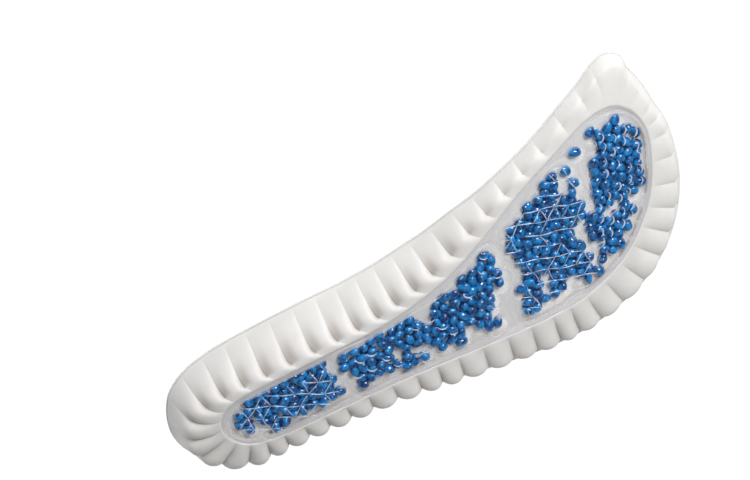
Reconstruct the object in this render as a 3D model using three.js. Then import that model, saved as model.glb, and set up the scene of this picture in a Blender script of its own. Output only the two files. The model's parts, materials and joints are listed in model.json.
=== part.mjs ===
// Left-foot gel insole, lying sole side up on its heel-cup rim and its toe edge.
// Millimetres, +Z up, +X from heel to toe, +Y to the inner (arch) side of the foot.
import * as THREE from 'three';

// Layers under the rib tops, as depths below the sole surface.
const WINDOW_DEPTH = 1.0;
const WINDOW_THICKNESS = 0.8;
const POD_RISE = 0.5;
const POD_STEP = 2.0;
const GAP = 0.3;
const BEAD_HEIGHT = 2.4;
const BED_THICKNESS = 0.7;
const RECESS_DEPTH = 6.0;

// Foot side.
const COVER_THICKNESS = 1.0;
const RIM_LAND = 2.5;
const BED_INSET = 4.0;
const BED_FLARE = 0.15;
const CUP_MIDDLE = { in: 0.45, rise: 0.7, sweep: 0.7 };
const BED_SWEEP = 0.4;

// Ribs: two pillows from one row of the perimeter table to the next.
const RIBS_PER_ROW = 2;
const COLUMNS_PER_RIB = 2;
const PILLOW_ROUNDNESS = 0.6;
const SWEEP_CURVE = 4.5;
const SIDE_BLEND = 0.6;

// Beads.
const BEAD_RADIUS = 2.3;
const BEAD_STRETCH = 0.08;
const BEAD_PITCH = 5.6;
const BEAD_JITTER = 0.45;
const BEAD_SIDES = 10;
const BEAD_MARGIN = 2.6;
const BEAD_SHOULDER = { spread: 0.66, rise: 0.74 };
const STRAY_BED_MARGIN = 0.6;
const STRAY_BED_SIDES = 8;

const table = (columns, rows) =>
  rows.map((row) => Object.fromEntries(columns.map((name, i) => [name, row[i]])));

// Sole surface along the foot, one row every SOLE_STEP from SOLE_START:
// height of the rib tops over the floor, and thickness down to the foot side.
const SOLE_START = -15;
const SOLE_STEP = 30;
const SOLE = table(['height', 'thickness'], [
  [22.8, 11.5],
  [25.1, 11.5],
  [27.3, 11.5],
  [29.1, 11.5],
  [29.5, 11.5],
  [28.8, 11.2],
  [26.7, 10.8],
  [23.4, 10.2],
  [18.7, 9.6],
  [12.4, 9.2],
  [4.4, 6.6],
]);

// Perimeter, one row at every second crease, from the heel along the inner side to the toe and back:
// x and y of the window edge, width of the flat flange, outward flare of the wall, lift of the rim
// over the floor, how far the ribs sweep back along the perimeter, and depth of the creases.
const EDGE = table(['x', 'y', 'flange', 'flare', 'lift', 'sweep', 'crease'], [
  [25.8, -1.0, 18.6, 8.6, 0.0, 1.5, 0.9],
  [28.0, 8.5, 13.7, 8.3, 0.0, 5.0, 0.95],
  [39.0, 14.0, 6.3, 9.6, 0.0, 4.0, 1.0],
  [61.0, 14.2, 4.8, 10.7, 0.8, 5.0, 1.0],
  [86.5, 12.9, 4.8, 11.3, 2.0, 6.0, 1.0],
  [110.0, 11.6, 5.1, 11.0, 2.5, 6.5, 1.0],
  [132.0, 12.4, 5.9, 10.0, 2.9, 6.5, 1.0],
  [154.0, 16.0, 6.9, 8.5, 4.1, 6.0, 1.0],
  [177.5, 23.8, 7.2, 6.0, 8.0, 4.5, 0.9],
  [198.5, 32.0, 5.8, 3.5, 9.9, 3.0, 0.85],
  [221.0, 38.6, 5.9, 3.0, 9.0, 1.6, 0.75],
  [241.5, 43.6, 9.0, 3.4, 5.6, -5.4, 0.5],
  [254.0, 42.8, 17.6, 4.0, 1.0, -4.9, 0.2],
  [261.0, 36.8, 12.0, 3.0, 0.0, 4.5, 0.2],
  [264.5, 27.5, 6.4, 3.0, 0.0, 0.0, 0.25],
  [263.5, 14.5, 8.7, 3.0, 0.0, 0.0, 0.3],
  [254.0, -5.5, 13.5, 3.5, 0.5, 0.0, 0.35],
  [241.0, -19.5, 17.1, 4.0, 3.2, -0.8, 0.5],
  [224.5, -29.4, 18.1, 4.5, 7.0, -1.2, 0.65],
  [203.0, -33.8, 17.2, 5.0, 11.0, -1.0, 0.85],
  [184.5, -32.5, 16.8, 5.5, 13.0, -0.5, 1.0],
  [161.5, -28.4, 15.5, 6.0, 14.0, 0.0, 1.0],
  [137.0, -23.6, 14.4, 6.0, 13.5, 0.0, 1.0],
  [116.0, -20.0, 12.7, 6.5, 12.0, 0.0, 1.0],
  [91.5, -17.0, 11.5, 6.5, 8.5, 0.0, 1.0],
  [69.0, -15.3, 10.8, 7.0, 4.5, 0.0, 1.0],
  [48.0, -13.9, 11.1, 7.5, 1.0, 0.0, 1.0],
  [32.5, -10.0, 14.9, 9.6, 0.0, 0.0, 1.0],
]);
const RIBS = RIBS_PER_ROW * EDGE.length;

// Outer profile from the window edge over the shoulder to the rim:
// parts of the flange, flare and drop reached, and how deep the creases are cut there on the arch
// side and on the outer side of the foot.
const PROFILE = table(['flange', 'flare', 'drop', 'archCut', 'outerCut'], [
  [0.0, 0.0, 0.0, 0.4, 0.1],
  [0.2, 0.0, 0.0, 0.8, 0.3],
  [0.5, 0.0, 0.008, 1.7, 1.5],
  [0.85, 0.0, 0.04, 2.6, 2.4],
  [1.0, 0.15, 0.14, 2.6, 2.2],
  [1.0, 0.45, 0.42, 1.4, 1.5],
  [1.0, 0.78, 0.76, 0.6, 0.8],
  [1.0, 0.97, 0.93, 0.1, 0.2],
  [1.0, 1.0, 1.0, 0.0, 0.0],
]);

// Bead pods: outline of the field, from its heel end along the inner side and back, with as many
// points out as back; direction of the bead rows in degrees; bare spots inside the field.
const PODS = [
  {
    name: 'heel_beads',
    turn: 0,
    outline: [
      [29, 2], [34, 6], [42, 10], [58, 10], [74, 10], [82, 12], [85, 0], [84, -9],
      [77, -14], [56, -13.7], [44, -13], [40.5, -5.5], [35, -9], [30, -4],
    ],
    bare: [],
  },
  {
    name: 'arch_beads',
    turn: 0,
    outline: [
      [88, 9], [111, 7.5], [131, 7.5], [146, 8], [161, 13], [175.5, 17.5], [174.5, -3], [165.5, -12.5],
      [165, -24], [157, -25], [150, -25.5], [143, -24], [135, -22], [124, -20], [108, -17.5], [91, -14.5],
    ],
    bare: [
      { x: 134, y: 3, radius: 4 },
      { x: 121.5, y: -11, radius: 5 },
      { x: 116, y: -6.5, radius: 3 },
      { x: 148.5, y: -19, radius: 3.5 },
    ],
  },
  {
    name: 'ball_beads',
    turn: 3,
    outline: [
      [172, -28], [176, -12], [182, -3], [180, 8], [182, 18], [190, 23], [206, 27], [216, 33],
      [226, 32], [225, 20], [222, 2], [214, -8], [216, -27], [209, -31.5], [198, -29], [184, -31],
    ],
    bare: [
      { x: 190, y: -18, radius: 3.2 },
      { x: 194.5, y: 22, radius: 4 },
      { x: 219.5, y: 20.5, radius: 4 },
      { x: 216, y: -4.5, radius: 3.5 },
      { x: 200.5, y: -28, radius: 4.5 },
    ],
  },
  {
    name: 'toe_beads',
    turn: 9,
    outline: [
      [217, -27], [218, -6], [225, 4], [231, 12], [233, 24], [238, 37], [247, 38], [256, 37],
      [262, 27], [261.5, 16], [257, 5], [249, -7], [240, -17.5], [228, -25.5],
    ],
    bare: [
      { x: 234, y: -5, radius: 3.2 },
      { x: 238.5, y: 30, radius: 3.2 },
      { x: 257, y: 32, radius: 3 },
      { x: 244, y: -6.5, radius: 2.6 },
    ],
  },
];
const STRAY_BEAD = { name: 'stray_bead', x: 231, y: 32, turn: -30, radius: 2.6 };

const FINISHES = {
  foam: { color: 0xf1efec, roughness: 0.7, metalness: 0 },
  window: { color: 0xdfe5ea, roughness: 0.15, metalness: 0, transparent: true, opacity: 0.35 },
  bead: { color: 0x155bb8, roughness: 0.12, metalness: 0 },
  cover: { color: 0xf4f2ee, roughness: 0.9, metalness: 0 },
};

const mix = (a, b, t) => a + (b - a) * t;
const wrap = (i, n) => ((i % n) + n) % n;

// Cubic through four neighbours, the curve lying between b and c.
function cubic(a, b, c, d, t) {
  const linear = c - a;
  const square = 2 * a - 5 * b + 4 * c - d;
  const cube = 3 * b - a - 3 * c + d;
  return b + 0.5 * t * (linear + t * (square + t * cube));
}

// Height and thickness of the sole at a place along the foot.
function soleAt(x, column) {
  const place = (x - SOLE_START) / SOLE_STEP;
  const i = Math.min(Math.max(Math.floor(place), 0), SOLE.length - 2);
  const row = (k) => SOLE[Math.min(Math.max(k, 0), SOLE.length - 1)][column];
  return cubic(row(i - 1), row(i), row(i + 1), row(i + 2), place - i);
}
const soleHeight = (x) => soleAt(x, 'height');

// Perimeter row at any place u, with the outward direction of the window edge.
function edgeRow(u) {
  const i = Math.floor(u);
  const rows = [-1, 0, 1, 2].map((k) => EDGE[wrap(i + k, EDGE.length)]);
  const names = Object.keys(EDGE[0]);
  return Object.fromEntries(names.map((name) => [name, cubic(...rows.map((r) => r[name]), u - i)]));
}
function edgeAt(u) {
  const step = 0.02;
  const before = edgeRow(u - step);
  const after = edgeRow(u + step);
  const length = Math.hypot(after.x - before.x, after.y - before.y);
  const row = edgeRow(u);
  return {
    ...row,
    lift: Math.max(row.lift, 0),
    outX: -(after.y - before.y) / length,
    outY: (after.x - before.x) / length,
  };
}

// Plan position at a distance out from the window edge, with a share of the sweep.
function planAt(edge, out, share) {
  const sweep = edge.sweep * share;
  return [
    edge.x + edge.outX * out - edge.outY * sweep,
    edge.y + edge.outY * out + edge.outX * sweep,
  ];
}

// Crest of the ribs at one row of the profile.
function crestAt(edge, row) {
  const out = row.flange * edge.flange + row.flare * edge.flare;
  const rest = 1 - out / (edge.flange + edge.flare);
  const [x, y] = planAt(edge, out, 1 - rest ** SWEEP_CURVE);
  const rim = edge.lift + COVER_THICKNESS + GAP;
  return [x, y, mix(soleHeight(x), rim, row.drop)];
}

// How far a place across a rib has fallen from its crest to the crease, 0 to 1.
function pillowFall(across) {
  const reach = PILLOW_ROUNDNESS * (2 * across - 1) ** 2;
  return (1 - Math.sqrt(1 - reach)) / (1 - Math.sqrt(1 - PILLOW_ROUNDNESS));
}

// Rib surface: the crest moved into the foam, square to the profile, by the crease cut.
function ribPoint(u, k) {
  const edge = edgeAt(u);
  const point = crestAt(edge, PROFILE[k]);
  const before = crestAt(edge, PROFILE[Math.max(k - 1, 0)]);
  const after = crestAt(edge, PROFILE[Math.min(k + 1, PROFILE.length - 1)]);
  const along = Math.hypot(after[0] - before[0], after[1] - before[1]);
  const fall = after[2] - before[2];
  const length = Math.hypot(along, fall);
  const side = THREE.MathUtils.smoothstep(edge.outY, -SIDE_BLEND, SIDE_BLEND);
  const deepest = mix(PROFILE[k].outerCut, PROFILE[k].archCut, side) * edge.crease;
  const cut = deepest * pillowFall(wrap(u * RIBS_PER_ROW, 1));
  const inward = (cut * -fall) / length;
  return [
    point[0] - inward * edge.outX,
    point[1] - inward * edge.outY,
    point[2] - (cut * along) / length,
  ];
}

// Foot side in section, from the rim to the bed edge: distance out from the window edge, height, and
// share of the sweep.
function footSection(edge) {
  const rim = edge.flange + edge.flare;
  const bedEdge = edge.flange + BED_FLARE * edge.flare - BED_INSET;
  const rimHeight = edge.lift + COVER_THICKNESS + GAP;
  const bedX = edge.x + edge.outX * bedEdge;
  const bedHeight = soleHeight(bedX) - soleAt(bedX, 'thickness') + COVER_THICKNESS + GAP;
  const landEdge = rim - RIM_LAND;
  return [
    [rim, rimHeight, 1],
    [landEdge, rimHeight, 1],
    [
      mix(landEdge, bedEdge, CUP_MIDDLE.in),
      mix(rimHeight, bedHeight, CUP_MIDDLE.rise),
      CUP_MIDDLE.sweep,
    ],
    [bedEdge, bedHeight, BED_SWEEP],
  ];
}

// The same section moved towards the foot, keeping the distance square to each of its stretches.
function offsetSection(section, distance) {
  const facing = section.map(([out, height], k) => {
    const [nextOut, nextHeight] = section[k + 1] ?? [out - 1, height];
    const length = Math.hypot(nextOut - out, nextHeight - height);
    return [(height - nextHeight) / length, (nextOut - out) / length];
  });
  return section.map(([out, height, share], k) => {
    const [a, b] = [facing[Math.max(k - 1, 0)], facing[k]];
    const spread = distance / (1 + a[0] * b[0] + a[1] * b[1]);
    return [out + spread * (a[0] + b[0]), height + spread * (a[1] + b[1]), share];
  });
}

// Points of one foot-side loop, one per rib, on the section moved by a distance.
function footLoop(k, distance) {
  return Array.from({ length: RIBS }, (_, rib) => {
    const edge = edgeAt(rib / RIBS_PER_ROW);
    const [out, height, share] = offsetSection(footSection(edge), distance)[k];
    const [x, y] = planAt(edge, out, share);
    return [x, y, height];
  });
}

// A closed mesh put together from loops of points.
class Shell {
  constructor() {
    this.points = [];
    this.faces = [];
  }

  loop(points) {
    return points.map((point) => this.points.push(point) - 1);
  }

  // Band between two loops of equal length, facing out or in.
  band(upper, lower, faceOut = true) {
    const put = (a, b, c) => this.faces.push(faceOut ? [a, b, c] : [a, c, b]);
    upper.forEach((here, i) => {
      const j = (i + 1) % upper.length;
      put(here, lower[j], lower[i]);
      put(here, upper[j], lower[j]);
    });
  }

  // Band from a fine loop to a coarse one, a fan of fine points on each coarse point.
  fanBand(fine, coarse, fineOnTop) {
    const share = fine.length / coarse.length;
    const middle = Math.floor(share / 2) + 1;
    coarse.forEach((here, i) => {
      const next = coarse[(i + 1) % coarse.length];
      const at = (k) => fine[(i * share + k) % fine.length];
      const fan = [];
      for (let k = 0; k < share; k += 1) fan.push([at(k), at(k + 1), k < middle ? here : next]);
      fan.push([at(middle), next, here]);
      this.faces.push(...fan.map((f) => (fineOnTop ? f : [f[0], f[2], f[1]])));
    });
  }

  // Skin inside a loop, on rungs from one side of the loop to the other.
  skin(loop, across, heightAt, faceUp) {
    const half = loop.length / 2;
    const rungs = [];
    for (let k = 0; k <= half; k += 1) {
      const a = loop[k];
      const b = loop[(loop.length - k) % loop.length];
      const rung = [a];
      if (a !== b) {
        for (let s = 1; s < across; s += 1) {
          const x = mix(this.points[a][0], this.points[b][0], s / across);
          const y = mix(this.points[a][1], this.points[b][1], s / across);
          rung.push(this.points.push([x, y, heightAt(x, y)]) - 1);
        }
        rung.push(b);
      }
      rungs.push(rung);
    }
    const put = (a, b, c) => this.faces.push(faceUp ? [a, b, c] : [a, c, b]);
    for (let k = 0; k < half; k += 1) {
      const near = rungs[k];
      const far = rungs[k + 1];
      for (let s = 0; s < across; s += 1) {
        const pick = (rung, i) => rung[rung.length === 1 ? 0 : i];
        const corners = [pick(near, s), pick(near, s + 1), pick(far, s + 1), pick(far, s)];
        if (near.length > 1) put(corners[0], corners[1], corners[2]);
        if (far.length > 1) put(corners[0], corners[2], corners[3]);
      }
    }
  }

  geometry() {
    const geometry = new THREE.BufferGeometry();
    geometry.setAttribute('position', new THREE.Float32BufferAttribute(this.points.flat(), 3));
    geometry.setIndex(this.faces.flat());
    geometry.computeVertexNormals();
    return geometry;
  }
}

function ribbedLoop(k) {
  const count = RIBS * COLUMNS_PER_RIB;
  return Array.from({ length: count }, (_, i) => ribPoint(i / (RIBS_PER_ROW * COLUMNS_PER_RIB), k));
}

// Loop along the window edge at a depth under the sole, moved inwards by a gap.
function windowLoop(depthAt, inset) {
  return Array.from({ length: RIBS }, (_, rib) => {
    const edge = edgeAt(rib / RIBS_PER_ROW);
    const x = edge.x - edge.outX * inset;
    const y = edge.y - edge.outY * inset;
    return [x, y, soleHeight(x) - depthAt(x, y)];
  });
}

function foamBody() {
  const shell = new Shell();
  const recessFloor = (x) => soleHeight(x) - RECESS_DEPTH;
  const footBed = (x) => soleHeight(x) - soleAt(x, 'thickness') + COVER_THICKNESS + GAP;
  const outer = PROFILE.map((_, k) => shell.loop(ribbedLoop(k)));
  const floorEdge = shell.loop(windowLoop(() => RECESS_DEPTH, 0));
  shell.fanBand(outer[0], floorEdge, false);
  shell.skin(floorEdge, 4, recessFloor, true);
  for (let k = 0; k + 1 < outer.length; k += 1) shell.band(outer[k], outer[k + 1]);
  const foot = [1, 2, 3].map((k) => shell.loop(footLoop(k, 0)));
  shell.fanBand(outer[outer.length - 1], foot[0], true);
  for (let k = 0; k + 1 < foot.length; k += 1) shell.band(foot[k], foot[k + 1]);
  shell.skin(foot[foot.length - 1], 4, footBed, false);
  return shell.geometry();
}

// Distance from a point to the nearest side of an outline, positive inside it.
function insideBy(x, y, outline) {
  let inside = false;
  let nearest = Infinity;
  outline.forEach(([ax, ay], i) => {
    const [bx, by] = outline[(i + 1) % outline.length];
    if (ay > y !== by > y && x < ax + ((y - ay) * (bx - ax)) / (by - ay)) inside = !inside;
    const length = (bx - ax) ** 2 + (by - ay) ** 2;
    const t = Math.min(Math.max(((x - ax) * (bx - ax) + (y - ay) * (by - ay)) / length, 0), 1);
    nearest = Math.min(nearest, Math.hypot(x - mix(ax, bx, t), y - mix(ay, by, t)));
  });
  return inside ? nearest : -nearest;
}

function podRise(x, y) {
  const depth = Math.max(...PODS.map((pod) => insideBy(x, y, pod.outline)));
  return POD_RISE * THREE.MathUtils.smoothstep(depth, -POD_STEP, POD_STEP);
}

function clearWindow() {
  const shell = new Shell();
  const topHeight = (x, y) => soleHeight(x) - WINDOW_DEPTH + podRise(x, y);
  const bottomHeight = (x, y) => topHeight(x, y) - WINDOW_THICKNESS;
  const top = shell.loop(windowLoop(() => WINDOW_DEPTH, GAP));
  const bottom = shell.loop(windowLoop(() => WINDOW_DEPTH + WINDOW_THICKNESS, GAP));
  shell.skin(top, 6, topHeight, true);
  shell.band(top, bottom);
  shell.skin(bottom, 6, bottomHeight, false);
  return shell.geometry();
}

function topCover() {
  const shell = new Shell();
  const bed = (x) => soleHeight(x) - soleAt(x, 'thickness');
  const inner = [0, 1, 2, 3].map((k) => shell.loop(footLoop(k, GAP)));
  const outer = [0, 1, 2, 3].map((k) => shell.loop(footLoop(k, GAP + COVER_THICKNESS)));
  for (let k = 0; k + 1 < inner.length; k += 1) {
    shell.band(inner[k], inner[k + 1], false);
    shell.band(outer[k], outer[k + 1]);
  }
  shell.band(inner[0], outer[0]);
  shell.skin(inner[3], 4, (x) => bed(x) + COVER_THICKNESS, true);
  shell.skin(outer[3], 4, bed, false);
  return shell.geometry();
}

// Repeatable scatter between -0.5 and 0.5.
function scatter(i, j, salt) {
  const wave = Math.sin(i * 127.1 + j * 311.7 + salt * 74.7) * 43758.5453;
  return wave - Math.floor(wave) - 0.5;
}

// Bead places of a pod: a close-packed grid, scattered, kept inside the outline and off bare spots.
function beadPlaces(pod) {
  const xs = pod.outline.map((p) => p[0]);
  const ys = pod.outline.map((p) => p[1]);
  const middle = [(Math.min(...xs) + Math.max(...xs)) / 2, (Math.min(...ys) + Math.max(...ys)) / 2];
  const turn = THREE.MathUtils.degToRad(pod.turn);
  const reach = Math.ceil((Math.max(...xs) - Math.min(...xs)) / BEAD_PITCH);
  const places = [];
  for (let i = -reach; i <= reach; i += 1) {
    for (let j = -reach; j <= reach; j += 1) {
      const along = (i + (wrap(j, 2) ? 0.5 : 0)) * BEAD_PITCH + BEAD_JITTER * scatter(i, j, 1);
      const across = (j * Math.sqrt(3) / 2) * BEAD_PITCH + BEAD_JITTER * scatter(i, j, 2);
      const x = middle[0] + along * Math.cos(turn) - across * Math.sin(turn);
      const y = middle[1] + along * Math.sin(turn) + across * Math.cos(turn);
      const clear = pod.bare.every((spot) => Math.hypot(x - spot.x, y - spot.y) > spot.radius);
      if (clear && insideBy(x, y, pod.outline) > BEAD_MARGIN) {
        places.push({ x, y, radius: BEAD_RADIUS, turn: Math.PI * scatter(i, j, 3) });
      }
    }
  }
  return places;
}

// Domed beads standing on a thin bed, all one solid.
function beadField(outline, places) {
  const shell = new Shell();
  const bedTop = (x) => soleHeight(x) - WINDOW_DEPTH - WINDOW_THICKNESS - GAP - BEAD_HEIGHT;
  const ring = (bead, sides, part, rise) =>
    Array.from({ length: sides }, (_, k) => {
      const angle = (2 * Math.PI * k) / sides;
      const long = bead.radius * part * (1 + BEAD_STRETCH) * Math.cos(angle);
      const wide = bead.radius * part * (1 - BEAD_STRETCH) * Math.sin(angle);
      const x = bead.x + long * Math.cos(bead.turn) - wide * Math.sin(bead.turn);
      const y = bead.y + long * Math.sin(bead.turn) + wide * Math.cos(bead.turn);
      return [x, y, bedTop(bead.x) + rise + (rise ? 0 : bedTop(x) - bedTop(bead.x))];
    });
  const upper = shell.loop(outline.map(([x, y]) => [x, y, bedTop(x)]));
  const lower = shell.loop(outline.map(([x, y]) => [x, y, bedTop(x) - BED_THICKNESS]));
  const bases = places.map((bead) => shell.loop(ring(bead, BEAD_SIDES, 1, 0)));
  const flat = (loop) => loop.map((i) => new THREE.Vector2(shell.points[i][0], shell.points[i][1]));
  const bed = [upper, ...bases].flat();
  THREE.ShapeUtils.triangulateShape(flat(upper), bases.map(flat)).forEach((face) => {
    shell.faces.push(face.map((i) => bed[i]));
  });
  shell.band(upper, lower);
  shell.skin(lower, 1, bedTop, false);
  places.forEach((bead, i) => {
    const base = bases[i];
    const { spread, rise } = BEAD_SHOULDER;
    const shoulder = shell.loop(ring(bead, BEAD_SIDES / 2, spread, rise * BEAD_HEIGHT));
    const [tip] = shell.loop([[bead.x, bead.y, bedTop(bead.x) + BEAD_HEIGHT]]);
    shoulder.forEach((here, k) => {
      const next = shoulder[(k + 1) % shoulder.length];
      const low = [0, 1, 2].map((step) => base[(2 * k + step) % base.length]);
      shell.faces.push([low[0], low[1], here], [low[1], next, here], [low[1], low[2], next]);
      shell.faces.push([here, next, tip]);
    });
  });
  return shell.geometry();
}

function strayBead() {
  const { x, y, radius } = STRAY_BEAD;
  const reach = radius + STRAY_BED_MARGIN;
  const outline = Array.from({ length: STRAY_BED_SIDES }, (_, k) => {
    const angle = (-2 * Math.PI * k) / STRAY_BED_SIDES;
    return [x + reach * Math.cos(angle), y + reach * Math.sin(angle)];
  });
  return beadField(outline, [{ x, y, radius, turn: THREE.MathUtils.degToRad(STRAY_BEAD.turn) }]);
}

function piece(name, geometry, finish) {
  const mesh = new THREE.Mesh(geometry, new THREE.MeshStandardMaterial(FINISHES[finish]));
  mesh.name = name;
  return mesh;
}

const insole = new THREE.Group();
insole.add(piece('foam_body', foamBody(), 'foam'));
insole.add(piece('clear_window', clearWindow(), 'window'));
PODS.forEach((pod) => insole.add(piece(pod.name, beadField(pod.outline, beadPlaces(pod)), 'bead')));
insole.add(piece(STRAY_BEAD.name, strayBead(), 'bead'));
insole.add(piece('top_cover', topCover(), 'cover'));

// Origin under the middle of the part, on the floor.
const box = new THREE.Box3().setFromObject(insole);
const middle = box.getCenter(new THREE.Vector3());
insole.position.set(-middle.x, -middle.y, -box.min.z);
insole.updateMatrixWorld(true);

export default insole;
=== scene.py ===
"""Looks of a gel insole that lies sole side up on its heel-cup rim and its toe edge.

Tables are in millimetres, +X from heel to toe, +Y to the arch side, as in the part's own source.
"""
import json
import math

import bpy
import numpy as np
from mathutils import Matrix, Vector

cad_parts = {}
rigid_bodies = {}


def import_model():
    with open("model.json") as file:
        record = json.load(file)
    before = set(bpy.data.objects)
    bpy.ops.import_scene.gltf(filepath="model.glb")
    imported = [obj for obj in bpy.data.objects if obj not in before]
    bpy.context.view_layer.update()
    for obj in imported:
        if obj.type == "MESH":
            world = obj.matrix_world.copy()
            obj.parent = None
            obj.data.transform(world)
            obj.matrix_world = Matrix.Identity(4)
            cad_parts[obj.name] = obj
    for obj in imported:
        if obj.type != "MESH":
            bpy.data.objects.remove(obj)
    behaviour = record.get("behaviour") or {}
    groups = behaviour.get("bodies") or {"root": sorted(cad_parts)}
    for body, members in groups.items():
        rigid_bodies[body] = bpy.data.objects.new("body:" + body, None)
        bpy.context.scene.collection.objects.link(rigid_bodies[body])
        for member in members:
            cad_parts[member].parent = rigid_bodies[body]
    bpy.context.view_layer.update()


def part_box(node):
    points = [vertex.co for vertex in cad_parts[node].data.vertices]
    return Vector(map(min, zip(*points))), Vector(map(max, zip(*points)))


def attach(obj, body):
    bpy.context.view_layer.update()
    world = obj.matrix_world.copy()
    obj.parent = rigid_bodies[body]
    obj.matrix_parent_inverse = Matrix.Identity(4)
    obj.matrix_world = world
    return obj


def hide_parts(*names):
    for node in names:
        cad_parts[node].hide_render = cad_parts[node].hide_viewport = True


MM = 0.001
BODY = "root"

# Layers under the sole surface: depth and thickness of the window, its rise over the pods, the gap
# that stands for a bond, and depth and edge rounding of the recess.
WINDOW_DEPTH = 0.6
WINDOW_THICKNESS = 0.8
POD_RISE = 0.1
GAP = 0.3
RECESS_DEPTH = 6.0
LIP_RADIUS = 0.9

# Foot side, and how finely the cover is meshed.
COVER_THICKNESS = 1.0
RIM_LAND = 2.5
BED_INSET = 4.0
BED_FLARE = 0.15
CUP_MIDDLE = {"in": 0.45, "rise": 0.7, "sweep": 0.7}
BED_SWEEP = 0.4
COVER_OVERHANG = 0.5
COVER_COLUMNS_PER_RIB = 4
COVER_ROWS = 16
COVER_ACROSS = 16

# Ribs: two pillows from one row of the perimeter table to the next, how far off centre their crests lie
# on the arch side, how soon they sweep back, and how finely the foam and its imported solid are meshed.
RIBS_PER_ROW = 2
PILLOW_SKEW = 0.2
SWEEP_CURVE = 4.5
SIDE_BLEND = 0.6
COLUMNS_PER_RIB = 14
PACKED_COLUMNS_PER_RIB = 2
PROFILE_ROWS = 40
LIP_ROWS = 5
FOOT_ROWS = 5
FOAM_ACROSS = 12
SHARP_ANGLE = math.radians(60)

# Window mesh, its relief, and how far from beads and from its edge the frost begins and ends.
WINDOW_COLUMNS_PER_RIB = 14
WINDOW_ACROSS = 120
WINDOW_BACK_ACROSS = 24
OUTLINE_STEPS = 4
POD_STEP = 1.2
WELD_DEPTH = 0.25
WELD_PLACE = 2.2
WELD_WIDTH = 0.7
WINDOW_OVERLAP = 0.38
BORDER_RISE = 0.45
BORDER_WIDTH = 4.5
CELL_RISE = 0.4
FROST_EDGE = (0.8, 2.0)
FROST_BORDER = (1.2, 3.2)

# Beads: a loose grid, half axes from least to most, and a flat foot under each bead.
BEAD_PITCH = 4.9
BEAD_JITTER = 2.2
BEAD_MARGIN = 1.9
BEAD_LONG = (2.45, 3.3)
BEAD_WIDE = (2.0, 2.5)
BEAD_TALL = (1.65, 1.95)
BEAD_SINK = (0.0, 0.7)
BEAD_TILT = 0.3
BEAD_SIDES = 18
BEAD_RINGS = 10
BEAD_EGG = 0.16
RELAX_STEPS = 40
RELAX_SHARE = 0.3
TOUCH = 0.9
FOOT_SPREAD = 1.05
FOOT_HEIGHT = 0.45

# Ridges on the window: lattice directions in degrees, each with the share of it that shows, then
# crescents on the round cells, and fine mould lines beside the pods and the window edge.
RIDGE_SEED = 11
LATTICE_EDGE = 7.2
LATTICE_SPACING = LATTICE_EDGE * math.sqrt(3) / 2
LATTICE_TURNS = {-30: 0.8, 30: 0.36, 90: 0.36}
LATTICE_RADIUS = (0.12, 0.28)
LATTICE_WOBBLE = 0.4
LATTICE_BENDS = (0.5, 0.4)
LATTICE_MARGIN = 0.5
LATTICE_STEPS = 12
ARC_REACH = (2.2, 2.8)
ARC_SPAN = math.radians(120)
ARC_TURN = math.radians(14)
ARC_JITTER = 0.9
ARC_STEPS = 15
ARC_RADIUS = (0.2, 0.42)
ARC_MARGIN = 2.0
LINE_RADIUS = 0.1
LINE_MARGIN = 0.8
LINE_CLEARANCE = 0.3
LINE_SHORTEST = 6
POD_LINES = (1.2, 2.2, 3.2)
EDGE_LINES = (1.2, 2.2, 3.2)
LINE_COLUMNS_PER_RIB = 6
TUBE_SIDES = 8
TAPER_END = 0.2

# Finishes: pairs of colours that a material goes between, the foam's darker tone being painted crease
# shade, shares of frost, and of the pale colour of ridges and lines, over clear plastic, the pale of the
# ridges being a painted highlight, how far the painted crease shade reaches in metres, and cloth threads
# for each metre.
FOAM_CREASE_SHADE_TONES = ((0.6, 0.56, 0.54), (0.9, 0.89, 0.88))
FOAM_CLOUDS = ((0.93, 0.93, 0.93), (1, 1, 1))
# The second tone is painted shade beside the creases of the arch-side ribs.
PAINTED_RIB_SHADE_TONES = ((1, 1, 1), (0.72, 0.68, 0.655))
GEL_TONES = ((0.0005, 0.03, 0.16), (0.003, 0.3, 0.78))
CLOTH_TONES = ((0.86, 0.85, 0.83), (0.9, 0.89, 0.88))
FROST_COLOUR = (0.7, 0.7, 0.72)
FROST_SHARE = (0.0, 0.8)
# Pale colour of the clear ridges, a painted highlight.
RIDGE_HIGHLIGHT_COLOUR = (0.76, 0.83, 0.94)
RIDGE_HIGHLIGHT_SHARE = (0.2, 1.0)
LINE_COLOUR = (0.94, 0.94, 0.96)
LINE_SHARE = (0.2, 0.9)
CLEAR_ROUGHNESS = 0.1
CLEAR_SHINE = 0.04
CREASE_SHADE_REACH = 0.006
CLOTH_THREADS = 200.0

# Painted shade on each rib of the arch side, beside its crease on the shoulder: its middle and reach
# across the rib and along the profile, and the crease depth at which it begins and is full.
PAINTED_RIB_SHADE = {"across": 0.24, "wide": 0.2, "place": 4.0, "long": 1.1, "crease": (0.75, 1)}

# Studio, in metres and watts: a broad key light from the toe end of the arch side, and a small light
# from above for the sparks on the beads.
FLOOR_SIZE = 6.0
FLOOR_COLOUR = (0.08, 0.08, 0.08)
FLOOR_GLOW = 1.0
LIGHTS = {
    "key": {
        "direction": (0.57, 0.5, 0.65),
        "distance": 1.15,
        "size": 0.5,
        "power": 10.0,
        "colour": (1, 0.99, 0.97),
    },
    "spark": {
        "direction": (-0.09, 0.02, 1.0),
        "distance": 1.2,
        "size": 0.1,
        "power": 1.3,
        "colour": (1, 1, 1),
    },
}
WORLD_COLOUR = (1.0, 0.985, 0.97)
WORLD_LIGHT = 0.14

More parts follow.
